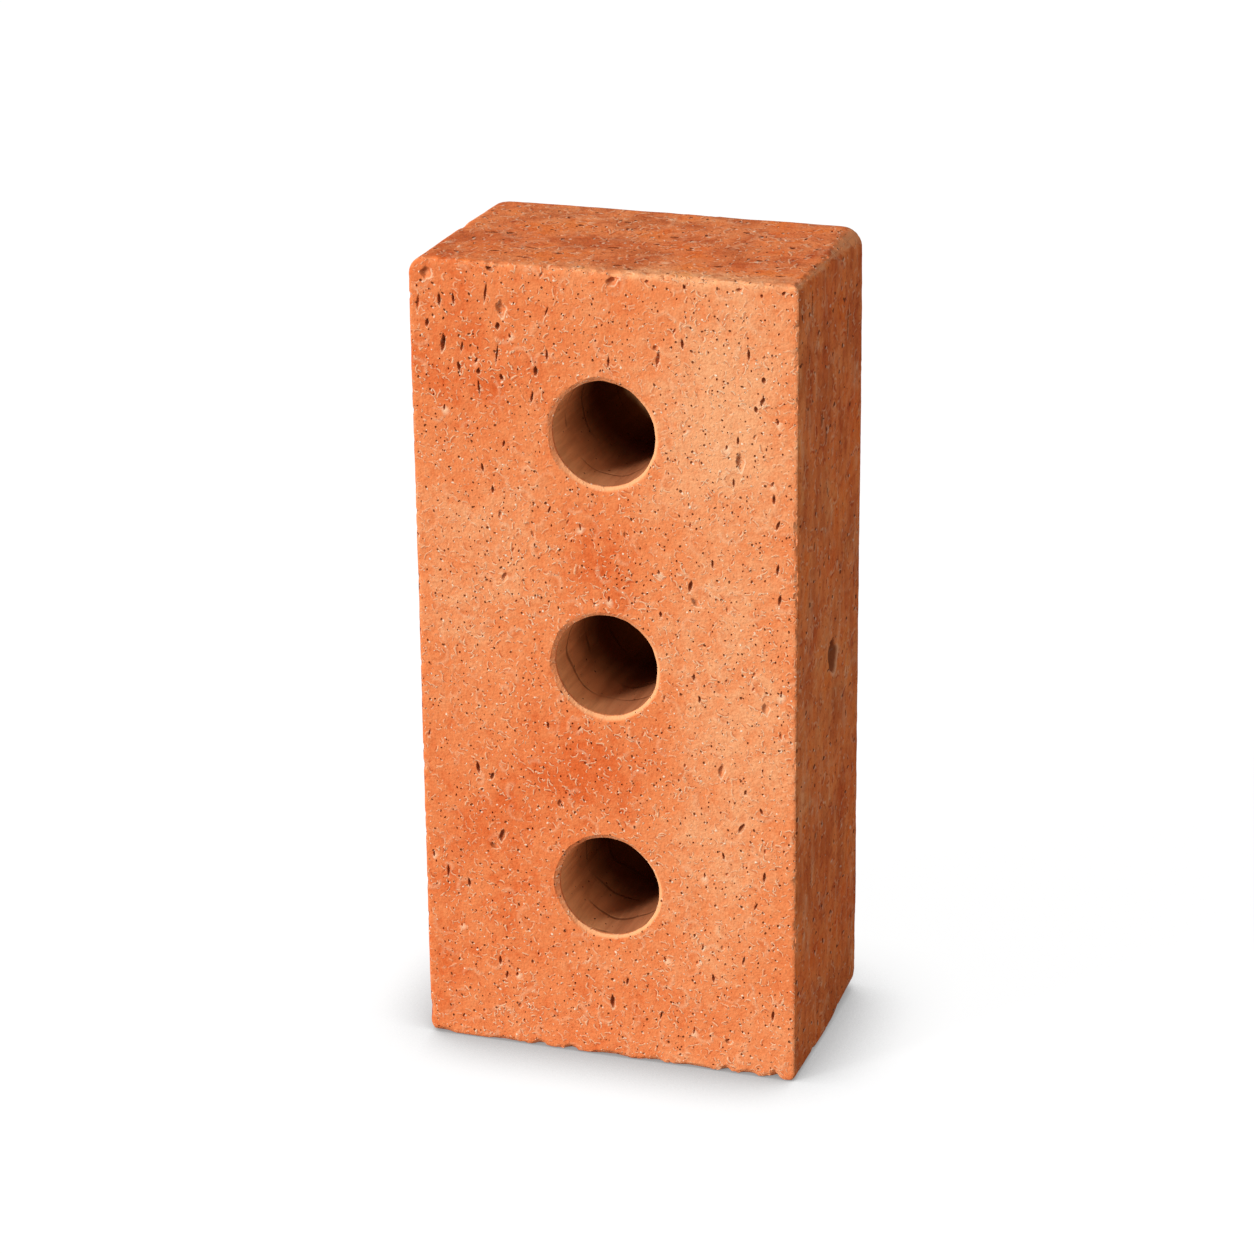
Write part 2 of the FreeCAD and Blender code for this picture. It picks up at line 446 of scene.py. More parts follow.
        right = (
            (37.0, 119.5, 5.5, 4.9, 0.04, 2.0, hollow, 0.2), (24.0, 195.0, 2.6, 1.1, 0.02, 1.4, slit, 0.2),
            (28.5, 188.5, 2.0, 0.9, 0.0, 1.2, slit, 0.2), (37.5, 189.0, 1.6, 0.8, 0.0, 1.2, slit, 0.1),
            (50.0, 216.0, 4.2, 0.8, -0.05, 1.0, slit, 0.1), (8.0, 202.0, 3.6, 0.7, -0.1, 0.8, gouge, 0.1),
            (13.0, 231.0, 4.4, 0.8, 0.03, 1.3, slit, 0.25), (10.5, 217.0, 2.6, 0.6, 0.0, 0.8, slit, 0.2),
            (16.5, 160.0, 1.4, 0.9, 0.15, 1.1, slit, 0.2), (22.5, 150.0, 1.5, 0.9, 0.1, 1.1, slit, 0.2),
            (44.0, 145.0, 1.3, 0.8, -0.1, 1.0, slit, 0.2), (30.0, 172.0, 1.2, 0.8, 0.0, 1.0, slit, 0.2),
            (52.0, 96.0, 1.3, 0.8, 0.2, 1.0, slit, 0.2), (20.0, 70.0, 1.4, 0.8, 0.1, 1.0, slit, 0.2),
        )
        top = (
            (14.5, 31.0, 1.0, 2.0, 0.1, 0.4, hollow, 0.25), (19.5, 31.5, 1.0, 1.4, 0.3, 0.4, hollow, 0.25),
            (31.0, 18.0, 0.8, 2.2, -0.3, 0.3, hollow, 0.25), (32.0, 8.0, 0.8, 2.8, -0.1, 0.4, hollow, 0.3),
            (40.0, 14.5, 0.9, 1.3, -0.2, 0.4, hollow, 0.25), (60.0, 7.0, 0.9, 1.5, 0.2, 0.4, hollow, 0.25),
            (64.0, 3.9, 0.6, 1.5, 0.0, 0.3, hollow, 0.25), (53.0, 24.5, 0.7, 2.4, 0.0, 0.3, hollow, 0.3),
            (36.0, 45.0, 1.0, 1.2, 0.0, 0.4, hollow, 0.25), (87.0, 13.5, 0.8, 1.7, 0.2, 0.4, hollow, 0.25),
            (96.0, 22.5, 0.9, 1.3, -0.2, 0.4, hollow, 0.25), (101.0, 38.0, 1.0, 1.1, 0.2, 0.4, hollow, 0.25),
            (66.0, 40.0, 0.9, 1.6, 0.2, 0.4, hollow, 0.25), (74.0, 28.0, 0.9, 1.2, -0.3, 0.4, hollow, 0.25),
            (22.0, 12.0, 0.7, 1.6, 0.2, 0.3, hollow, 0.25), (48.0, 52.0, 0.9, 1.3, 0.1, 0.4, hollow, 0.25),
            (84.0, 50.0, 0.9, 1.5, -0.2, 0.4, hollow, 0.25), (106.0, 9.0, 0.8, 1.3, 0.3, 0.4, hollow, 0.25),
        )
        tables = {Side.FRONT: front, Side.RIGHT: right, Side.TOP: top}
        return {side: [Pit(*row) for row in rows] for side, rows in tables.items()}

    def scatter_pits(self, face: FacePlane, rng: np.random.Generator) -> list[Pit]:
        """Random pores over one face, clear of its edges, its holes and each other.

        Args:
            face: where they go.
            rng: the source of every draw.

        Returns:
            The face's marked pits with the scattered ones after them.
        """
        pits = list(self.marked_pits().get(face.side, []))
        area = face.width * face.height
        upright = face.side not in (Side.TOP, Side.BOTTOM)
        fine = 36 if face.side is Side.FRONT else 60
        plans = [
            (round(area / 620), (0.7, 1.6), (0.26, 0.42), PitShape.SLIT, (0.6, 1.1)),
            (round(area / 760), (0.6, 1.5), (0.40, 0.75), PitShape.GOUGE, (0.35, 0.6)),
            (round(area / fine), (0.25, 0.48), (0.22, 0.34), PitShape.ROUND, (0.3, 0.55)),
        ]
        holes = self.hole_centres(face)
        edge = self.pit_margin
        placed = np.array([(p.u, p.v, p.reach) for p in pits]).reshape(-1, 3)
        for count, along, across, shape, depth in plans:
            for _ in range(count):
                u, v = rng.uniform(edge, face.width - edge), rng.uniform(edge, face.height - edge)
                size, girth = rng.uniform(*along), rng.uniform(*across)
                lean = rng.normal(0.0, 0.22) if upright else rng.uniform(0, math.pi)
                deep = rng.uniform(*depth)
                if len(holes) and np.hypot(*(holes - (u, v)).T).min() < self.bore_radius + edge + size:
                    continue
                away = np.hypot(placed[:, 0] - u, placed[:, 1] - v)
                if (away < placed[:, 2] + size + self.pit_gap).any():
                    continue
                wobble = 0.0 if shape is PitShape.ROUND else 0.2
                pits.append(Pit(u, v, size, min(girth, size), lean, deep, shape, wobble))
                placed = np.vstack([placed, (u, v, size)])
        return pits

    # ---- laying out the mesh on the sharp-edged block

    def face_patch(self, face: FacePlane, rng: np.random.Generator) -> SurfacePatch:
        """Triangulates one face, with points gathered at its edges, its hole mouths and its pores."""
        w, h = face.width, face.height
        nu, nv = round(w / self.edge_step), round(h / self.edge_step)
        us, vs = w * np.arange(nu + 1) / nu, h * np.arange(nv + 1) / nv
        border = np.vstack([
            np.stack([us[:-1], np.zeros(nu)], 1), np.stack([np.full(nv, w), vs[:-1]], 1),
            np.stack([us[:0:-1], np.full(nu, h)], 1), np.stack([np.zeros(nv), vs[:0:-1]], 1),
        ])
        loops = [np.arange(len(border))]
        fixed = [border]
        rings = []
        if face.side in BEDS:
            for bore in range(len(self.bores)):
                ring = face.flatten(self.mouth_ring(bore, face.side, inner=False))
                loops.append(sum(map(len, fixed)) + np.arange(len(ring)))
                fixed.append(ring)
                rings.append(ring)

        loose = []
        for row, inset in enumerate(self.edge_rows):
            nu, nv = round((w - 2 * inset) / 1.25), round((h - 2 * inset) / 1.25)
            us = inset + (w - 2 * inset) * (np.arange(nu) + 0.5 * (row % 2)) / nu
            vs = inset + (h - 2 * inset) * (np.arange(nv) + 0.5 * (row % 2)) / nv
            loose += [np.stack([us, np.full(nu, inset)], 1), np.stack([us + 0.3, np.full(nu, h - inset)], 1)]
            loose += [np.stack([np.full(nv, inset), vs + 0.3], 1), np.stack([np.full(nv, w - inset), vs], 1)]
        step = {Side.FRONT: 1.6, Side.RIGHT: 1.8, Side.TOP: 1.7}.get(face.side, 2.3)
        first = self.edge_rows[-1] + 0.9
        rows = np.arange(first, h - first, step * math.sqrt(3) / 2)
        for i, v in enumerate(rows):
            us = np.arange(first + (step / 2 if i % 2 else 0), w - first, step)
            loose.append(np.stack([us, np.full(len(us), v)], 1))
        loose = np.vstack(loose)
        loose += rng.uniform(-0.16, 0.16, loose.shape) * np.where(
            (loose.min(1) > first) & (loose[:, 0] < w - first) & (loose[:, 1] < h - first), 1.0, 0.2)[:, None]

        centres = self.hole_centres(face)
        keep = np.ones(len(loose), bool)
        for ring, centre in zip(rings, centres):
            keep &= np.hypot(*(loose - centre).T) > self.bore_radius + self.mouth_width + 2.4
            spokes = unit(ring - centre)
            for extra, every in ((0.7, 1), (1.6, 2)):
                fixed.append(ring[::every] + spokes[::every] * extra)
        carriers = []
        for pit in self.pits[face.side]:
            near = np.hypot(loose[:, 0] - pit.u, loose[:, 1] - pit.v) < pit.reach + 1.0
            if near.any():
                clear = 1.0 + 0.45 / min(pit.along, pit.across)
                keep[np.flatnonzero(near)[pit.share_out(loose[near]) < clear]] = False
            carriers.append(pit.points(0.34 if pit.along < 0.7 else 0.45))
        points = np.vstack(fixed + [loose[keep]] + carriers)
        edges = [(int(a), int(b)) for loop in loops for a, b in zip(loop, np.roll(loop, -1))]
        _, _, triangles, origins, _, _ = delaunay_2d_cdt([Vector(p) for p in points], edges, [], 0, 1e-5, True)
        source = np.array([o[0] if o else -1 for o in origins])
        triangles = source[np.array([t for t in triangles if len(t) == 3])]
        middle = points[triangles].mean(axis=1)
        solid = (triangles >= 0).all(axis=1)
        for bore, (ring, centre) in enumerate(zip(rings, centres)):
            rim, out = ring - centre, middle - centre
            order = np.argsort(np.arctan2(rim[:, 1], rim[:, 0]))
            turn = np.arctan2(rim[order, 1], rim[order, 0])
            limit = np.interp(np.arctan2(out[:, 1], out[:, 0]), turn, np.hypot(*rim[order].T), period=2 * math.pi)
            on_ring = ((triangles >= loops[bore + 1][0]) & (triangles <= loops[bore + 1][-1])).all(axis=1)
            solid &= ~(on_ring & (np.hypot(*out.T) < limit))
        triangles = triangles[solid]
        sheet = points[triangles] + SHEET_PLACES[face.side]
        return SurfacePatch(face.lift(points), triangles, sheet, list(Side).index(face.side))

    # ---- settling the points on to the worn brick

    def corner_radius(self, p: np.ndarray) -> np.ndarray:
        """Radius of the edges that run along Y: each corner of the section has its own wear."""
        left, high = p[:, 0] < 0, p[:, 2] > self.length / 2
        worn = np.where(high, np.where(left, 5.4, 2.6), np.where(left, 3.4, 2.4))
        back = smooth_step((p[:, 1] + 5.0) / (self.thickness / 2))
        return worn + (6.4 - worn) * back

    def depth_inside(self, p: np.ndarray) -> np.ndarray:
        """Signed distance from the worn outline, without its holes and pores: negative inside."""
        radius = self.corner_radius(p)
        qx = np.abs(p[:, 0]) - self.width / 2 + radius
        qz = np.abs(p[:, 2] - self.length / 2) - self.length / 2 + radius
        tube = np.minimum(np.maximum(qx, qz), 0) + np.hypot(np.maximum(qx, 0), np.maximum(qz, 0)) - radius
        slab = np.abs(p[:, 1]) - self.thickness / 2
        arris = np.where(p[:, 1] < 0, self.front_arris, self.back_arris)
        a, b = tube + arris, slab + arris
        return np.minimum(np.maximum(a, b), 0) + np.hypot(np.maximum(a, 0), np.maximum(b, 0)) - arris

    def outward(self, p: np.ndarray) -> np.ndarray:
        """Unit normals of the worn outline at or outside its surface."""
        step = 0.02
        slope = [self.depth_inside(p + step * axis) - self.depth_inside(p - step * axis) for axis in np.eye(3)]
        return unit(np.stack(slope, axis=1))

    def block_edges(self, rng: np.random.Generator) -> list[BlockEdge]:
        """The twelve edges with their chips: the marked ones listed, and small ones at random."""
        w, t, h = self.width / 2, self.thickness / 2, self.length
        x, y, z = np.eye(3)
        bottom_front = chips(
            (4.0, 4.0, 1.4), (24.0, 5.5, 1.15), (35.0, 2.2, 1.9, 2), (44.5, 2.6, 1.7, 2), (57.0, 7.0, 1.2),
            (71.0, 3.0, 1.5), (83.0, 6.0, 1.25), (92.5, 2.0, 2.0, 2), (99.5, 3.0, 1.6), (107.5, 1.8, 2.5, 2),
        )
        top_front = chips(
            (27.0, 1.6, 1.3, 2), (60.5, 2.3, 1.5, 2), (80.0, 1.3, 1.1), (97.0, 2.2, 1.2), (44.0, 3.0, 0.9),
            (71.0, 2.4, 1.0), (88.5, 1.7, 1.2), (104.0, 1.4, 1.2), (110.0, 2.4, 1.4),
        )
        top_right = chips(
            (3.0, 2.2, 1.0), (8.5, 1.1, 1.2), (13.0, 1.4, 1.1), (19.0, 1.0, 1.3), (24.5, 2.0, 1.2),
            (32.0, 1.2, 1.3), (41.0, 2.2, 1.2), (50.0, 1.3, 1.2), (57.0, 2.0, 1.1),
        )
        plan = [
            (np.array([-w, -t, 0]), x, 2 * w, (-y - z), bottom_front, 0.20, 30),
            (np.array([-w, -t, h]), x, 2 * w, (-y + z), top_front, 0.22, 44),
            (np.array([w, -t, h]), y, 2 * t, (x + z), top_right, 0.22, 26),
            (np.array([w, -t, 0]), z, h, (x - y), chips((64.0, 1.6, 1.4), (171.0, 1.9, 1.3)), 0.10, 46),
            (np.array([-w, -t, 0]), z, h, (-x - y), chips((8.0, 2.5, 1.3), (118.0, 1.4, 1.2)), 0.14, 40),
            (np.array([-w, t, 0]), x, 2 * w, (y - z), chips((35.0, 4.0, 3.0), (88.0, 3.0, 3.2)), 0.18, 8),
            (np.array([-w, t, h]), x, 2 * w, (y + z), chips((70.0, 3.2, 3.0)), 0.18, 8),
            (np.array([w, -t, 0]), y, 2 * t, (x - z), chips((20.0, 2.0, 1.3), (47.0, 3.0, 1.4)), 0.18, 12),
            (np.array([-w, -t, 0]), y, 2 * t, (-x - z), chips((30.0, 2.6, 1.4)), 0.18, 12),
            (np.array([-w, -t, h]), y, 2 * t, (-x + z), chips((38.0, 4.0, 1.3)), 0.22, 8),
            (np.array([w, t, 0]), z, h, (x + y), chips((60.0, 4.0, 3.2), (200.0, 3.0, 3.0)), 0.14, 10),
            (np.array([-w, t, 0]), z, h, (-x + y), chips((140.0, 5.0, 3.3)), 0.14, 10),
        ]
        edges = []
        for start, along, length, outward, marked, roughness, count in plan:
            small = tuple(
                Chip(rng.uniform(3, length - 3), rng.uniform(0.4, 1.3), rng.uniform(0.75, 1.35), 2.0)
                for _ in range(count)
            )
            edges.append(BlockEdge(start, along, outward / math.sqrt(2), marked + small, roughness))
        return edges

    def wear_edges(self, p: np.ndarray, edges: list[BlockEdge], noise: LatticeNoise) -> np.ndarray:
        """Cuts the chips: points that stand proud of a chip's facet go back to it."""
        for edge in edges:
            rel = p - edge.start
            height, at = rel @ edge.outward, rel @ edge.along
            near = height > -6.0
            depth = np.zeros(near.sum())
            for chip in edge.chips:
                share = 1.0 - np.abs((at[near] - chip.at) / chip.half) ** chip.bluntness
                depth = np.maximum(depth, chip.depth * np.maximum(share, 0.0) ** 0.7)
            rough = noise.at(p[near], 1.1) * 0.5 + noise.at(p[near] + 31, 3.1) * 0.5
            already = 0.414 * self.corner_radius(p[near]) - 0.5 if edge.along[1] else 0.0
            limit = -depth - already - edge.roughness * (rough + 0.4) * 1.2
            excess = np.maximum(height[near] - limit, 0.0)
            p[near] -= excess[:, None] * edge.outward
        return p

    def build(self) -> tuple[np.ndarray, np.ndarray, dict[str, np.ndarray], dict[str, np.ndarray]]:
        """Makes the whole skin.

        Returns:
            Points in millimetres, triangles, their corners on each sheet, and the point values that the finishes
            read.
        """
        rng = np.random.default_rng(self.seed)
        faces = self.faces()
        patches = []
        for face in faces:
            self.pits[face.side] = self.scatter_pits(face, rng)
            patches.append(self.face_patch(face, rng))
        patches += [self.bore_patch(bore) for bore in range(len(self.bores))]

        sharp = np.vstack([patch.points for patch in patches])
        side = np.concatenate([np.full(len(patch.points), patch.side) for patch in patches])
        offsets = np.cumsum([0] + [len(patch.points) for patch in patches])
        triangles = np.vstack([patch.triangles + start for patch, start in zip(patches, offsets)])
        grid = np.round(sharp * 1e3 + 0.137).astype(int)
        _, first, weld = np.unique(grid, axis=0, return_index=True, return_inverse=True)
        triangles = weld.reshape(-1)[triangles]
        sheet = np.vstack([patch.sheet for patch in patches])
        squeeze = [*SQUEEZE.values(), (1.0, 1.0)]
        marks = np.vstack([patch.sheet * squeeze[patch.side] for patch in patches])
        sharp, side = sharp[first], side[first]

        noise = LatticeNoise(self.seed)
        p = sharp.copy()
        outside = side < len(Side)
        on_mouth = ~outside & (np.abs(np.abs(sharp[:, 1]) - self.thickness / 2) < 1e-6)
        skin = outside | on_mouth
        for _ in range(4):
            p[skin] -= self.depth_inside(p[skin])[:, None] * self.outward(p[skin])
        warp = self.warp * (0.5 + 0.34 * noise.at(sharp, 34.0) + 0.16 * noise.at(sharp + 77, 11.0))
        ripple = 0.055 * noise.at(sharp + 19, 4.2) + 0.03 * noise.at(sharp + 5, 2.1)
        inset = np.maximum(warp + ripple, 0.0)
        inset *= np.where(side == list(Side).index(Side.BOTTOM), 0.35, 1.0)
        p[skin] -= inset[skin, None] * self.outward(p[skin])
        p[skin] = self.wear_edges(p[skin], self.block_edges(rng), noise)

        values = {name: np.zeros(len(p)) for name in ("painted_pit_shade", "tone", "bore", "reach", "skin", "worn", "rim")}
        for face in faces:
            mine = np.flatnonzero(side == list(Side).index(face.side))
            uv = face.flatten(sharp[mine])
            for pit in self.pits[face.side]:
                near = np.flatnonzero(np.hypot(uv[:, 0] - pit.u, uv[:, 1] - pit.v) < pit.reach * 1.5 + 0.2)
                share = pit.sink(uv[near])
                # painted highlight on the lower right lip of each larger pit, the side that faces the light
                if pit.along > 0.6:
                    values["rim"][mine[near]] = np.maximum(values["rim"][mine[near]], pit.rim(uv[near]))
                p[mine[near]] -= (share * pit.depth)[:, None] * face.normal
                # painted shade over each pit, darkest on its upper left side, away from the light
                values["painted_pit_shade"][mine[near]] = np.maximum(values["painted_pit_shade"][mine[near]], pit.shade(uv[near]))
            if face.side not in BEDS:
                values["skin"][mine] = 0.55 if face.side in (Side.TOP, Side.BOTTOM) else 1.0

        wall = ~skin
        reach = np.clip((np.abs(p[:, 1]) - (self.thickness / 2 - 4.0)) / 4.0, 0.0, 1.0)
        p[wall, 1] -= (np.sign(p[:, 1]) * reach * self.warp * 0.5)[wall]
        drag = 0.10 * noise.at(sharp * (1.0, 0.12, 1.0), 3.0) + 0.12 * noise.at(sharp * (1.0, 0.4, 1.0) + 9, 9.0)
        nearest = np.argmin([np.hypot(p[:, 0] - x, p[:, 2] - z) for x, z in self.bores], axis=0)
        centre = np.array([(x, z) for x, z in self.bores])[nearest]
        radial = unit(p[:, [0, 2]] - centre)
        p[np.ix_(np.flatnonzero(wall), (0, 2))] += (drag * (1 - reach))[wall, None] * radial[wall]
        values["bore"][wall] = np.clip((self.thickness / 2 - np.abs(p[wall, 1])) / (self.thickness / 2), 0, 1)
        values["reach"] = p[:, 1] + self.thickness / 2
        values["tone"] = self.firing_tone(p, noise)
        arris = smooth_step((np.einsum("ij,ij->i", sharp - p, sharp - p) ** 0.5 - 0.55) / 0.7)
        lip = on_mouth | (wall & (values["bore"] < 0.04))
        # the hole lips are paler on their lower right, which faces the light: a painted highlight over their pale
        # wear
        facing = 0.3 + 0.7 * smooth_step((radial @ (0.6, -0.8) + 0.5) / 1.1)
        values["worn"] = np.where(lip, facing, 0.5 * arris * skin)
        return p, triangles, {SHEET: marks, BAKE_SHEET: sheet}, values

    def firing_tone(self, p: np.ndarray, noise: LatticeNoise) -> np.ndarray:
        """How pale the clay fired, from 0, deep orange, to 1, pale peach."""
        tone = 0.41 + 0.17 * noise.at(p + 11, 42.0) + 0.13 * noise.at(p + 3, 19.0) + 0.08 * noise.at(p + 41, 9.0)
        patches = (
            (38.0, 205.0, 26.0, 44.0, 0.42), (36.0, 140.0, 20.0, 60.0, 0.16), (34.0, 45.0, 24.0, 40.0, 0.22),
            (-36.0, 120.0, 22.0, 34.0, 0.16), (0.0, 158.0, 15.0, 16.0, -0.30), (-4.0, 92.0, 26.0, 14.0, -0.30),
            (-36.0, 205.0, 22.0, 24.0, -0.14), (-40.0, 66.0, 20.0, 20.0, -0.14), (-30.0, 22.0, 30.0, 14.0, -0.08),
        )
        front = smooth_step((6.0 - p[:, 1] - self.thickness / 2) / 12.0 + 0.5)
        for x, z, half_x, half_z, change in patches:
            tone += change * front * np.exp(-((p[:, 0] - x) / half_x) ** 2 - ((p[:, 2] - z) / half_z) ** 2)
        top = smooth_step((p[:, 2] - self.length) / 3.0 + 1.0)
        tone += 0.45 * top * np.exp(-((p[:, 0] - 18.0) / 34.0) ** 2 - ((p[:, 1] + self.thickness / 2) / 7.0) ** 2)
        return np.clip(tone, 0.0, 1.0)

    def make_object(self, name: str) -> bpy.types.Object:
        """Builds the brick's Blender object.

        Args:
            name: what the object is called.

        Returns:
            The object, in the scene, with its triangles set to two material indices: the outer clay, and the walls
            of the holes.
        """
        points, triangles, sheets, values = self.build()
        mesh = bpy.data.meshes.new(name)
        mesh.vertices.add(len(points))
        mesh.vertices.foreach_set("co", (points * MM).astype(np.float32).ravel())
        mesh.loops.add(3 * len(triangles))
        mesh.loops.foreach_set("vertex_index", triangles.astype(np.int32).ravel())
        mesh.polygons.add(len(triangles))
        mesh.polygons.foreach_set("loop_start", np.arange(0, 3 * len(triangles), 3, dtype=np.int32))
        in_bore = (values["bore"][triangles] > 0.045).all(axis=1)
        mesh.polygons.foreach_set("material_index", in_bore.astype(np.int32))
        mesh.polygons.foreach_set("use_smooth", np.ones(len(triangles), bool))
        for label, value in values.items():
            layer = mesh.attributes.new(label, "FLOAT", "POINT")
            layer.data.foreach_set("value", value.astype(np.float32))
        for label, sheet in sheets.items():
            mesh.uv_layers.new(name=label).uv.foreach_set("vector", (sheet / SHEET_SIDE).astype(np.float32).ravel())
        mesh.update(calc_edges=True)
        mesh.set_sharp_from_angle(angle=math.radians(34.0))
        return put_in_scene(name, mesh)


# ---- finishes


def linear(red: int, green: int, blue: int) -> tuple[float, float, float, float]:
    """A colour as written on a colour chart, from 0 to 255, as the linear values that shaders take."""
    parts = [c / 255.0 for c in (red, green, blue)]
    return (*[c / 12.92 if c <= 0.04045 else ((c + 0.055) / 1.055) ** 2.4 for c in parts], 1.0)


Socket = bpy.types.NodeSocket
Value = Socket | float | tuple
Colour = tuple[int, int, int]


class NodeSheet:
    """A node tree being laid out, with short calls for the nodes that the finishes are made of."""

    def __init__(self, tree: bpy.types.NodeTree) -> None:
        """Args: tree: an empty tree, which gets the nodes."""
        self.tree = tree

    def add(self, kind: str, inputs: dict[str | int, Value] | None = None, **settings: object) -> bpy.types.Node:
        """One node.

        Args:
            kind: the node's type name, without ShaderNode.
            inputs: sockets to link from, or values to set, by socket name or number.
            settings: properties of the node.

        Returns:
            The node.
        """
        node = self.tree.nodes.new("ShaderNode" + kind)
        for name, value in settings.items():
            setattr(node, name, value)
        for key, value in (inputs or {}).items():
            self.feed(node.inputs[key], value)
        return node

    def feed(self, socket: Socket, value: Value) -> None:
        """Links an input from another socket, or sets its value."""
        if isinstance(value, Socket):
            self.tree.links.new(value, socket)
        else:
            socket.default_value = value

    def math(self, operation: str, *values: Value, clamp: bool = False) -> Socket:
        """One step of arithmetic on numbers."""
        return self.add("Math", dict(enumerate(values)), operation=operation, use_clamp=clamp).outputs[0]

    def mul(self, first: Value, second: Value) -> Socket:
        """Two numbers multiplied."""
        return self.math("MULTIPLY", first, second)

    def mul_add(self, first: Value, second: Value, third: Value, clamp: bool = False) -> Socket:
        """Two numbers multiplied, and a third added."""
        return self.math("MULTIPLY_ADD", first, second, third, clamp=clamp)

    def sub(self, first: Value, second: Value) -> Socket:
        """The second number taken from the first."""
        return self.math("SUBTRACT", first, second)

    def larger(self, first: Value, second: Value) -> Socket:
        """The larger of two numbers."""
        return self.math("MAXIMUM", first, second)

    def vector(self, operation: str, *values: Value) -> Socket:
        """One step of arithmetic on vectors."""
        return self.add("VectorMath", dict(enumerate(values)), operation=operation).outputs[0]

    def stretched(self, vector: Value, factor: Value) -> Socket:
        """A vector times a number."""
        return self.add("VectorMath", {0: vector, "Scale": factor}, operation="SCALE").outputs[0]

    def moved(self, vector: Value, shift: float) -> Socket:
        """A vector with shift added along each axis."""
        return self.scaled(vector, (1.0,) * 3, shift)

    def scaled(self, vector: Value, factors: tuple[float, float, float], shift: float = 0.0) -> Socket:
        """A vector stretched along each axis and moved."""
        return self.vector("MULTIPLY_ADD", vector, factors, (shift,) * 3)

    def ramp(self, value: Value, low: Value, high: Value, to_low: Value = 0.0, to_high: Value = 1.0) -> Socket:
        """An S-curve from to_low to to_high as value goes from low to high."""
        inputs = {"Value": value, "From Min": low, "From Max": high, "To Min": to_low, "To Max": to_high}
        return self.add("MapRange", inputs, interpolation_type="SMOOTHSTEP").outputs["Result"]

    def noise(
        self, vector: Value, size: float, detail: float = 2.0, rough: float = 0.5, colour: bool = False
    ) -> Socket:
        """Noise whose features are about size across: its value, or its colour."""
        node = self.add("TexNoise", {"Vector": vector, "Scale": 1.0 / size, "Detail": detail, "Roughness": rough})
        return node.outputs["Color" if colour else "Fac"]

    def blend(self, share: Value, first: Value, second: Value, mode: str = "MIX") -> Socket:
        """Two colours mixed, with second laid over first."""
        node = self.add("Mix", data_type="RGBA", blend_type=mode)
        for number, value in ((0, share), (6, first), (7, second)):
            self.feed(node.inputs[number], value)
        return node.outputs[2]

    def cover(self, share: Value, under: Value, colour: Colour) -> Socket:
        """A charted colour laid over another."""
        return self.blend(share, under, linear(*colour))

    def wash(self, share: Value, under: Value, colour: Colour) -> Socket:
        """A colour multiplied by a charted one."""
        return self.blend(share, under, linear(*colour), "MULTIPLY")

    def cells(self, sheet: Value, size: Value) -> bpy.types.Node:
        """Random cells about size across, flat on the sheet."""
        scaled = self.stretched(sheet, self.math("DIVIDE", 1.0, size))
        return self.add("TexVoronoi", {"Vector": scaled, "Scale": 1.0}, feature="F1", voronoi_dimensions="2D")

    def on_sheet(self) -> Socket:
        """Place on the flat sheet, in millimetres."""
        place = self.add("UVMap", uv_map=SHEET).outputs[0]
        return self.scaled(place, (SHEET_SIDE, SHEET_SIDE, 0.0))

    def stored(self, name: str) -> Socket:
        """A value kept on the mesh's points."""
        return self.add("Attribute", attribute_name=name).outputs["Fac"]

    def group(self, tree: bpy.types.NodeTree, **inputs: Value) -> bpy.types.Node:
        """A shared effect, placed with its own values."""
        node = self.add("Group")
        node.node_tree = tree
        for name, value in inputs.items():
            self.feed(node.inputs[name], value)
        return node

    def spots(
        self, effects: "ClayEffects", sheet: Socket, cell: float, smallest: float, largest: float, share: float
    ) -> bpy.types.bpy_prop_collection:
        """The outputs of the shared spots, in cells of one size, with a share of the cells filled."""
        sizes = {"Cell": cell, "Smallest": smallest, "Largest": largest, "Share": share}
        return self.group(effects.spots, Sheet=sheet, **sizes).outputs


class Effect:
    """A shader node group shared by the clay finishes: named inputs, named outputs, and the nodes between."""

    def __init__(self, name: str, inputs: dict[str, float | None], outputs: tuple[str, ...]) -> None:
        """Makes the group's sockets.

        Args:
            name: the group's name.
            inputs: number inputs with their defaults; None makes a vector input.
            outputs: names of the number outputs.
        """
        self.tree = bpy.data.node_groups.new(name, "ShaderNodeTree")
        for label, default in inputs.items():
            kind = "NodeSocketVector" if default is None else "NodeSocketFloat"
            socket = self.tree.interface.new_socket(name=label, in_out="INPUT", socket_type=kind)
            if default is not None:
                socket.default_value = default
        for label in outputs:
            self.tree.interface.new_socket(name=label, in_out="OUTPUT", socket_type="NodeSocketFloat")
        self.given = self.tree.nodes.new("NodeGroupInput").outputs
        self.out = self.tree.nodes.new("NodeGroupOutput").inputs
        self.sheet = NodeSheet(self.tree)

    def scatter(self) -> tuple[list[Socket], Socket, Socket]:
        """One random place in each cell.

        Returns:
            Three random draws for the cell, the distance from its place, and the way there as a vector.
        """
        s, given = self.sheet, self.given
        cells = s.cells(given["Sheet"], given["Cell"])
        draws = s.add("SeparateColor", {"Color": cells.outputs["Color"]}).outputs
        distance = s.mul(cells.outputs["Distance"], given["Cell"])
        away = s.vector("SUBTRACT", given["Sheet"], s.stretched(cells.outputs["Position"], given["Cell"]))
        return list(draws), distance, away

    def finish(self, **outputs: Socket) -> bpy.types.NodeTree:
        """Links the outputs and returns the group."""
        for name, socket in outputs.items():
            self.tree.links.new(socket, self.out[name])
        return self.tree


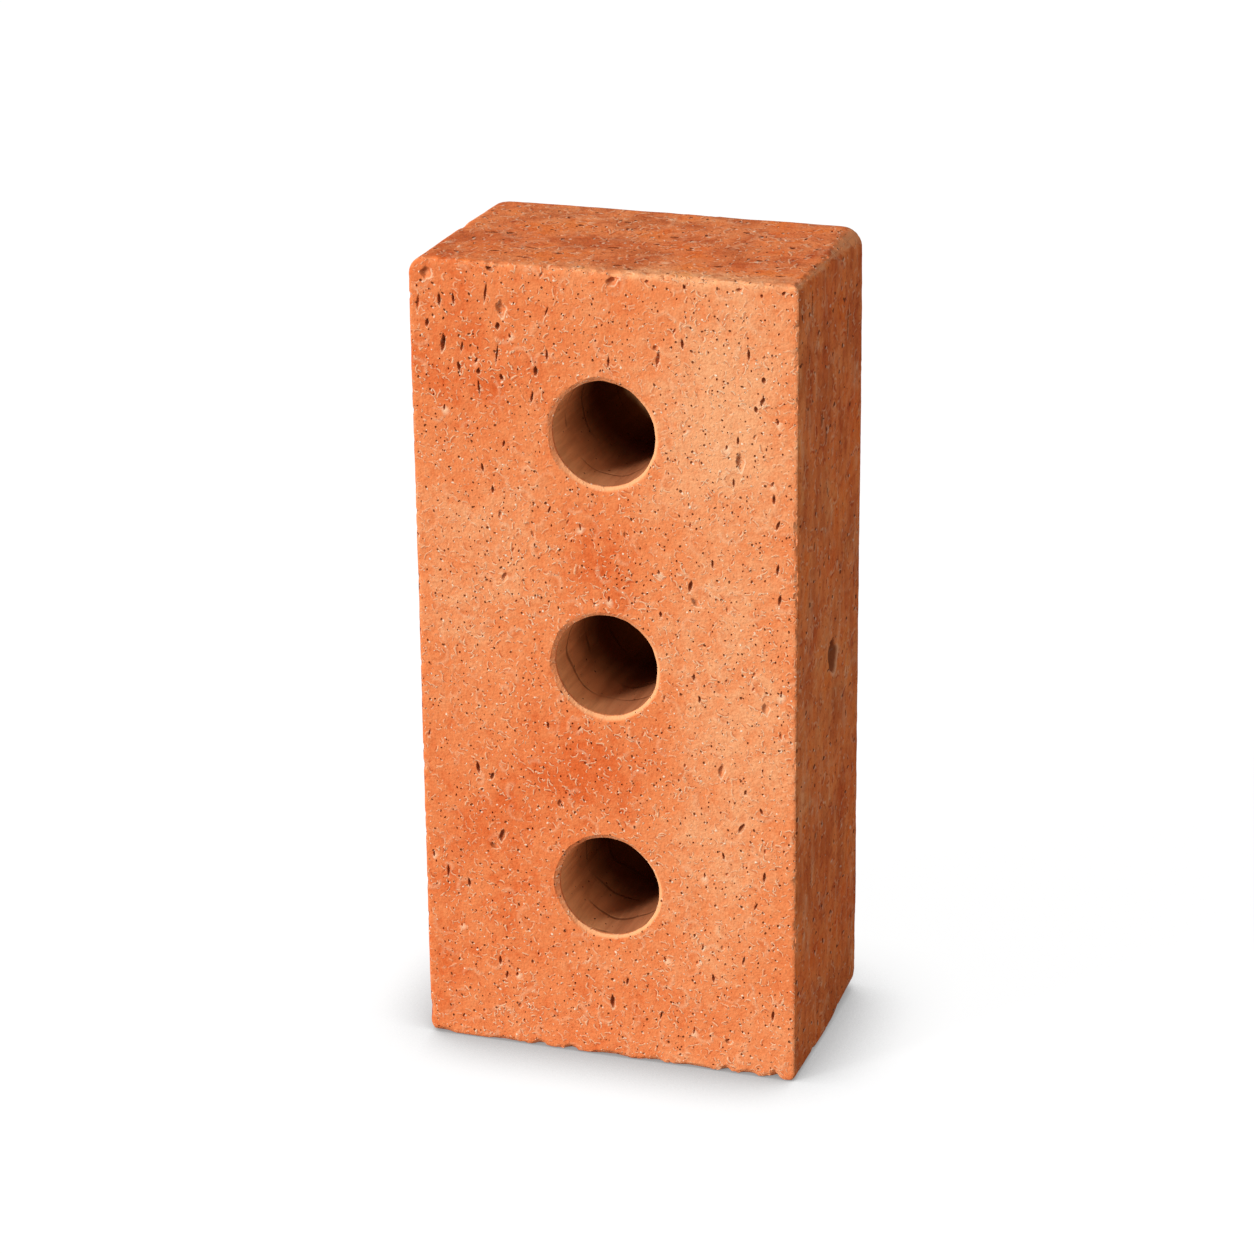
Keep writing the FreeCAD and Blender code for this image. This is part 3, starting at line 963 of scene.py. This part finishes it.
def spot_effect() -> bpy.types.NodeTree:
    """Scattered round spots, at most one in each cell: pinholes where they sink, and grains where they stand up.

    Returns:
        The group. Mask is 1 in a spot. Height is its depth in the same unit as the sheet, as a positive number.
        The third output is 1 in a smaller spot at its lower right, the side that faces the light: a small raised
        spot that takes a painted highlight.
    """
    sizes = {"Cell": 3.0, "Smallest": 0.2, "Largest": 0.4, "Share": 0.5}
    fx = Effect("Clay Spots", {"Sheet": None} | sizes, ("Mask", "Height", "Crumb"))
    s, given = fx.sheet, fx.given
    draws, distance, away = fx.scatter()
    spread = s.sub(given["Largest"], given["Smallest"])
    radius = s.mul_add(s.math("POWER", draws[0], 1.6), spread, given["Smallest"])
    present = s.math("LESS_THAN", draws[1], given["Share"])
    mask = s.mul(s.ramp(s.math("DIVIDE", distance, radius), 1.0, 0.5), present)
    # a small spot beside it on the lower right, the side that faces the light, which takes a painted highlight
    beside = s.stretched((1.15, -0.95, 0.0), radius)
    off = s.add("VectorMath", {0: away, 1: beside}, operation="DISTANCE").outputs["Value"]
    crumb_highlight = s.mul(s.ramp(s.math("DIVIDE", off, radius), 1.0, 0.4), present)
    crumb_highlight = s.mul(crumb_highlight, s.math("LESS_THAN", draws[2], 0.6))
    return fx.finish(Mask=mask, Height=s.math("MULTIPLY", mask, radius), Crumb=crumb_highlight)


def curl_effect() -> bpy.types.NodeTree:
    """Short curved ridges, at most one in each cell: clay rolled up and dragged by the cutting wire, with a painted
    highlight along each and painted shade just inside.

    Returns:
        The group. Mask is 1 along the middle of each curl, and the second output is 1 along a line of painted shade
        inside it.
    """
    sizes = {"Cell": 4.0, "Radius": 1.0, "Width": 0.3, "Share": 0.7, "Sweep": 0.1}
    fx = Effect("Clay Curls", {"Sheet": None} | sizes, ("Mask", "Groove"))
    s, given = fx.sheet, fx.given
    draws, distance, away = fx.scatter()
    radius = s.mul(given["Radius"], s.mul_add(draws[0], 0.9, 0.55))
    half = s.mul(given["Width"], 0.5)
    line = s.ramp(s.math("ABSOLUTE", s.sub(distance, radius)), half, 0.0)
    # a line of painted shade just inside each curl, standing in for its shadow side
    inner = s.sub(radius, s.mul(given["Width"], 0.75))
    shade_line = s.ramp(s.math("ABSOLUTE", s.sub(distance, inner)), half, 0.0)
    parts = s.add("SeparateXYZ", {0: away})
    around = s.math("ARCTAN2", parts.outputs[1], parts.outputs[0])
    turned = s.sub(around, s.mul(draws[2], 2 * math.pi))
    sector = s.ramp(s.math("COSINE", turned), given["Sweep"], s.mul_add(given["Sweep"], 0.5, 0.5))
    present = s.math("LESS_THAN", draws[1], given["Share"])
    drawn = s.mul(sector, present)
    return fx.finish(Mask=s.math("MULTIPLY", line, drawn), Groove=s.math("MULTIPLY", shade_line, drawn))


@dataclass(frozen=True)
class ClayEffects:
    """The shared effects, built once."""

    spots: bpy.types.NodeTree
    curls: bpy.types.NodeTree


@dataclass(frozen=True)
class ClaySkin:
    """The brick's outer finish: wire-cut beds, and die-smoothed sides and ends."""

    deep: Colour = (232, 112, 55)
    middle: Colour = (246, 147, 90)
    pale: Colour = (253, 182, 130)
    # painted highlight on the curls and on the pits' lower right lips, and the real pale drag streaks on the sides
    pale_streak_and_highlight: Colour = (255, 212, 172)
    # painted shade just inside each curl
    curl_shade: Colour = (204, 156, 132)
    # real pale grains, and the painted highlight beside each pinhole on its lit side
    speck_and_highlight: Colour = (255, 234, 206)
    # painted shade in the pinholes and pits
    hollow: Colour = (122, 54, 24)
    side_wash: Colour = (255, 246, 222)
    stain: Colour = (224, 204, 190)
    ember: Colour = (255, 236, 200)
    streak: Colour = (226, 202, 186)
    scorched: Colour = (216, 190, 176)
    grimy: Colour = (232, 206, 190)
    # pale wear on arrises and hole lips, and a painted highlight on the lips' lower right, which faces the light
    lip: Colour = (255, 184, 130)
    roughness: float = 0.84
    shine: float = 0.06

    def material(self, effects: ClayEffects) -> bpy.types.Material:
        """Builds the material from the shared effects, and returns it."""
        material, s, shader = new_material("fired_clay")
        where = s.scaled(s.add("TexCoord").outputs["Object"], (PER_METRE,) * 3)
        skin, painted_pit_shade, worn = s.stored("skin"), s.stored("painted_pit_shade"), s.stored("worn")
        drawn = s.ramp(skin, 0.6, 1.0)

        cloud = s.noise(where, 2.4, 2.0, 0.6)
        tone = s.mul_add(s.sub(s.noise(where, 9.0, 3.0, 0.6), 0.5), 0.60, s.stored("tone"))
        tone = s.mul_add(s.sub(cloud, 0.5), 0.62, tone)
        low = s.cover(s.ramp(tone, 0.0, 0.5), linear(*self.deep), self.middle)
        colour = s.cover(s.ramp(tone, 0.42, 1.0), low, self.pale)

        drag = s.noise(s.scaled(where, (1.0, 1.0, 0.26)), 4.2, 3.0, 0.55)
        swirl = s.noise(s.scaled(where, (1.0, 1.0, 0.55), 61.0), 15.0, 3.0, 0.62)
        colour = s.wash(drawn, colour, self.side_wash)
        moulded = s.ramp(skin, 0.1, 0.5)
        smoked = s.mul(s.ramp(swirl, 0.44, 0.64), s.ramp(skin, 0.0, 0.5, 0.0, 0.95))
        colour = s.wash(smoked, colour, self.stain)
        colour = s.wash(s.mul(s.ramp(swirl, 0.48, 0.34), moulded), colour, self.ember)
        colour = s.wash(s.mul(s.ramp(drag, 0.46, 0.64, 0.0, 0.35), drawn), colour, self.streak)
        colour = s.cover(s.mul(s.ramp(drag, 0.44, 0.32, 0.0, 0.20), drawn), colour, self.pale_streak_and_highlight)
        scorch = s.mul(s.ramp(s.noise(s.moved(where, 83.0), 3.4, 3.0, 0.66), 0.5, 0.68), moulded)
        colour = s.wash(s.mul(scorch, 0.65), colour, self.scorched)

        bend = s.vector("SUBTRACT", s.noise(where, 2.7, 1.0, colour=True), (0.5, 0.5, 0.5))
        flat = s.on_sheet()
        bent = s.vector("MULTIPLY_ADD", bend, (1.5, 1.5, 0.0), flat)
        plans = (
            (0.0, 3.2, 1.05, 0.56, 0.70, 0.58, 1.0), (71.0, 2.3, 0.52, 0.50, 0.64, 0.44, 0.9),
            (33.0, 4.6, 2.0, 0.60, 0.78, 0.82, 1.0), (17.0, 9.0, 2.6, 1.8, 0.75, 0.0, 0.34),
        )
        ridges: Socket | None = None
        shade_lines: Socket | None = None
        for shift, cell, radius, width, share, sweep, much in plans:
            sizes = {"Cell": cell, "Radius": radius, "Width": width, "Share": share, "Sweep": sweep}
            curl = s.group(effects.curls, Sheet=s.moved(bent, shift), **sizes)
            part, shade_line = (s.mul(curl.outputs[mark], much) for mark in ("Mask", "Groove"))
            ridges = part if ridges is None else s.larger(ridges, part)
            shade_lines = shade_line if shade_lines is None else s.larger(shade_lines, shade_line)
        worked = s.ramp(s.noise(s.moved(where, 9.0), 16.0, 1.0), 0.36, 0.62, 0.55, 1.0)
        ridges = s.mul(ridges, worked)
        # painted shade just inside each curl, standing in for its shadow side
        colour = s.wash(s.mul(s.mul(shade_lines, worked), 0.8), colour, self.curl_shade)
        # painted highlight along each curl, which also stands up in the relief
        colour = s.cover(s.mul(ridges, s.mul_add(skin, -0.50, 0.92)), colour, self.pale_streak_and_highlight)
        grit = s.sub(s.noise(where, 0.7, 3.0, 0.6), 0.5)
        gritty = s.mul_add(grit, 1.8, 0.42, clamp=True)
        colour = s.wash(gritty, colour, self.grimy)
        # pale wear on arrises and hole lips, and a painted highlight on the lips' lower right, which faces the
        # light
        colour = s.cover(s.mul(worn, 0.85), colour, self.lip)

        pores = s.spots(effects, bent, 3.6, 0.20, 0.42, 0.60)
        pricks = s.spots(effects, s.moved(flat, 23.0), 2.3, 0.12, 0.24, 0.30)
        grains = s.spots(effects, s.moved(bent, 51.0), 3.9, 0.20, 0.42, 0.36)
        # real pale grains, and beside each pinhole a small raised spot with a painted highlight on its lit side
        bright = s.larger(s.mul(grains["Mask"], 0.8), s.mul(pores["Crumb"], 0.7))
        rim = s.stored("rim")
        bright = s.mul(bright, s.mul_add(skin, -0.55, 1.0))
        # painted highlight on the pits' lower right lips, which face the light
        colour = s.cover(s.mul(rim, s.mul_add(skin, -0.4, 0.85)), colour, self.pale_streak_and_highlight)
        colour = s.cover(bright, colour, self.speck_and_highlight)
        # painted shade in the pinholes and over the pits, standing in for the shade in these hollows
        dark = s.larger(s.mul(pores["Mask"], 0.95), s.mul(pricks["Mask"], 0.6))
        colour = s.cover(s.larger(dark, painted_pit_shade), colour, self.hollow)

        height = s.mul_add(pores["Height"], -1.5, s.mul(pricks["Height"], -1.0))
        relief = ((bright, 0.10), (ridges, 0.12), (grit, 0.24), (cloud, 0.36), (s.mul(drag, drawn), 0.35))
        for part, much in relief:
            height = s.mul_add(part, much, height)
        dress(s, shader, colour, self.roughness, self.shine, height)
        return material


@dataclass(frozen=True)
class HoleWall:
    """The walls of the holes: smoothed by the core bar, and darker inside from painted shade.

    The holes are thickness millimetres long, and darkest from fade millimetres in from the front mouth.
    """

    thickness: float
    mouth: Colour = (255, 184, 124)
    # painted shade deep inside the holes
    inside: Colour = (104, 46, 14)
    # painted shade in the pinholes, and the dark scored marks
    hollow: Colour = (60, 24, 8)
    # painted shade on the lower right walls, which face the light
    lit_wall_shade: Colour = (186, 166, 168)
    score: Colour = (205, 190, 180)
    roughness: float = 0.9
    fade: float = 42.0

    def material(self, effects: ClayEffects) -> bpy.types.Material:
        """Builds the material from the shared effects, and returns it."""
        material, s, shader = new_material("hole_clay")
        places = s.add("TexCoord").outputs
        where = s.scaled(places["Object"], (PER_METRE,) * 3)
        bore = s.stored("bore")
        depth = s.mul_add(s.sub(s.noise(where, 9.0, 2.0), 0.5), 10.0, s.stored("reach"))
        # painted shade that deepens into each hole from the front mouth and lifts again near the back mouth
        far_end = s.ramp(depth, self.thickness, self.thickness - 9.0)
        depth_shade = s.math("MINIMUM", s.ramp(depth, 2.0, self.fade), far_end)
        colour = s.cover(depth_shade, linear(*self.mouth), self.inside)
        # painted shade that dims the lower right wall, which faces the light
        facing = {0: places["Normal"], 1: (-0.62, 0.0, 0.78)}
        lower = s.add("VectorMath", facing, operation="DOT_PRODUCT").outputs["Value"]
        colour = s.wash(s.ramp(lower, 0.1, 0.95), colour, self.lit_wall_shade)
        drag = s.noise(s.scaled(where, (1.0, 0.10, 1.0)), 2.6, 3.0, 0.6)
        colour = s.wash(s.ramp(drag, 0.38, 0.66, 0.0, 0.45), colour, self.score)
        sway = s.mul_add(s.noise(where, 17.0, 1.0), 0.42, bore)
        step = s.math("ABSOLUTE", s.sub(s.math("FRACT", s.mul(sway, 2.6)), 0.5))
        marks = s.mul(s.ramp(step, 0.08, 0.0), s.ramp(s.noise(s.moved(where, 5.0), 13.0, 1.0), 0.44, 0.62))
        pores = s.spots(effects, s.on_sheet(), 4.2, 0.15, 0.4, 0.3)
        # painted shade in the pinholes, and the dark scored marks
        dark = s.larger(s.mul(pores["Mask"], 0.8), s.mul(marks, 0.55))
        colour = s.cover(dark, colour, self.hollow)
        height = s.mul_add(pores["Height"], -1.4, s.mul(drag, 0.16))
        height = s.mul_add(marks, -0.25, height)
        dress(s, shader, colour, self.roughness, 0.0, height)
        return material


def put_in_scene(name: str, data: bpy.types.ID) -> bpy.types.Object:
    """A new object in the scene that shows data."""
    made = bpy.data.objects.new(name, data)
    bpy.context.scene.collection.objects.link(made)
    return made


def empty_sheet(owner: bpy.types.Material | bpy.types.World) -> NodeSheet:
    """The owner's node tree, with nothing in it."""
    owner.use_nodes = True
    owner.node_tree.nodes.clear()
    return NodeSheet(owner.node_tree)


def new_material(name: str) -> tuple[bpy.types.Material, NodeSheet, bpy.types.Node]:
    """An empty node material with its shader linked to the output."""
    material = bpy.data.materials.new(name)
    sheet = empty_sheet(material)
    shader = sheet.add("BsdfPrincipled")
    sheet.add("OutputMaterial", {"Surface": shader.outputs[0]})
    return material, sheet, shader


def dress(
    sheet: NodeSheet, shader: bpy.types.Node, colour: Socket, roughness: float, shine: float,
    height: Socket,
) -> None:
    """Feeds a Principled shader.

    Args:
        sheet: the material's nodes.
        shader: its Principled BSDF.
        colour: the base colour.
        roughness: the same all over.
        shine: the specular level, where 0.5 is a common glaze.
        height: relief in millimetres.
    """
    bump = sheet.add("Bump", {"Height": height, "Distance": MM, "Strength": 1.0})
    sheet.tree.links.new(colour, shader.inputs["Base Color"])
    sheet.tree.links.new(bump.outputs[0], shader.inputs["Normal"])
    shader.inputs["Roughness"].default_value = roughness
    shader.inputs["Specular IOR Level"].default_value = shine


# ---- the studio


@dataclass(frozen=True)
class Studio:
    """A pale floor, one soft main light, an even fill, and the camera."""

    azimuth: float = 18.66
    elevation: float = 20.65
    distance: float = 1147.35
    aim: tuple[float, float, float] = (-5.14, 0.0, 122.46)
    lens: float = 112.46
    roll: float = -0.62
    fill: float = 0.45
    key: float = 2.95
    key_from: tuple[float, float, float] = (-0.56, -0.65, 0.38)
    key_softness: float = 12.0
    # how far the floor's painted contact shadow reaches, in metres
    painted_shadow_reach: float = 0.035

    def add_camera(self) -> None:
        """Places the camera on a sphere about the point that it aims at."""
        a, e = math.radians(self.azimuth), math.radians(self.elevation)
        back = Vector((math.sin(a) * math.cos(e), -math.cos(a) * math.cos(e), math.sin(e)))
        data = bpy.data.cameras.new("camera")
        data.lens, data.sensor_width, data.clip_start = self.lens, 36.0, 0.01
        camera = put_in_scene("camera", data)
        place = (Vector(self.aim) + back * self.distance) * MM
        turn = back.to_track_quat("Z", "Y").to_matrix().to_4x4() @ Matrix.Rotation(math.radians(self.roll), 4, "Z")
        camera.matrix_world = Matrix.Translation(place) @ turn
        bpy.context.scene.camera = camera

    def add_lights(self) -> None:
        """One soft distant lamp from the upper left, in front, and an even fill from all round."""
        data = bpy.data.lights.new("key", "SUN")
        data.energy, data.angle = self.key, math.radians(self.key_softness)
        key = put_in_scene("key", data)
        key.rotation_euler = Vector(self.key_from).to_track_quat("Z", "Y").to_euler()

        world = bpy.data.worlds.new("studio")
        bpy.context.scene.world = world
        sheet = empty_sheet(world)
        seen = self.seen_share(sheet)
        strength = sheet.mul_add(seen, 1.0 - self.fill, self.fill)
        light = sheet.add("Background", {"Color": (1.0, 1.0, 1.0, 1.0), "Strength": strength})
        sheet.add("OutputWorld", {"Surface": light.outputs[0]})

    @staticmethod
    def seen_share(sheet: NodeSheet) -> Socket:
        """1 for rays from the camera, or seen in a reflection or through glass, and 0 for light on the object."""
        path = sheet.add("LightPath").outputs
        seen = sheet.larger(path["Is Camera Ray"], path["Is Glossy Ray"])
        return sheet.larger(seen, path["Is Transmission Ray"])

    def add_floor(self) -> None:
        """A pale floor that shows white where it is lit, keeps the brick's shadow, and has a painted contact
        shadow.
        """
        mesh = bpy.data.meshes.new("floor")
        far = 4.0
        mesh.from_pydata([(-far, -far, 0), (far, -far, 0), (far, far, 0), (-far, far, 0)], [], [(0, 1, 2, 3)])
        floor = put_in_scene("floor", mesh)
        material = bpy.data.materials.new("pale_floor")
        sheet = empty_sheet(material)
        plain = sheet.add("BsdfDiffuse", {"Color": (0.42, 0.42, 0.42, 1.0)})
        shaded = sheet.add("BsdfDiffuse", {"Color": (0.10, 0.10, 0.10, 1.0)})
        # painted contact shadow: the floor's glow dims where the brick hides it from its surroundings
        open_share = sheet.add("AmbientOcclusion", {"Distance": self.painted_shadow_reach}, samples=8).outputs["AO"]
        strength = sheet.ramp(open_share, 0.25, 1.0, 0.26, 0.96)
        glow = sheet.add("Emission", {"Color": (1.0, 1.0, 1.0, 1.0), "Strength": strength})
        bright = sheet.add("AddShader", {0: shaded.outputs[0], 1: glow.outputs[0]})
        mixed = sheet.add("MixShader", {0: self.seen_share(sheet), 1: plain.outputs[0], 2: bright.outputs[0]})
        sheet.add("OutputMaterial", {"Surface": mixed.outputs[0]})
        mesh.materials.append(material)


def main() -> None:
    """Builds the brick, dresses it, and sets up the studio."""
    logging.basicConfig(level=logging.INFO, format="%(name)s: %(message)s")
    low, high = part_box(NODE)
    size = [PER_METRE * (b - a) for a, b in zip(low, high)]
    bores = [m for m in frame["record"]["mounts"] if m["kind"] == "bore"]
    centres = sorted(((PER_METRE * m["pos_m"][0], PER_METRE * m["pos_m"][2]) for m in bores), key=lambda c: c[1])

    studio = Studio()
    studio.add_camera()
    studio.add_lights()
    studio.add_floor()

    brick = ClayBrick(size[0], size[1], size[2], centres, bores[0]["dims"]["r_mm"]).make_object("clay_brick")
    effects = ClayEffects(spot_effect(), curl_effect())
    for finish in (ClaySkin(), HoleWall(thickness=size[1])):
        brick.data.materials.append(finish.material(effects))
    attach(brick, BODY)
    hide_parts(NODE)
    log.info("%s: %d points, %d triangles", brick.name, len(brick.data.vertices), len(brick.data.polygons))

    bpy.context.scene.view_settings.view_transform = "Standard"


if __name__ == "__main__":
    main()
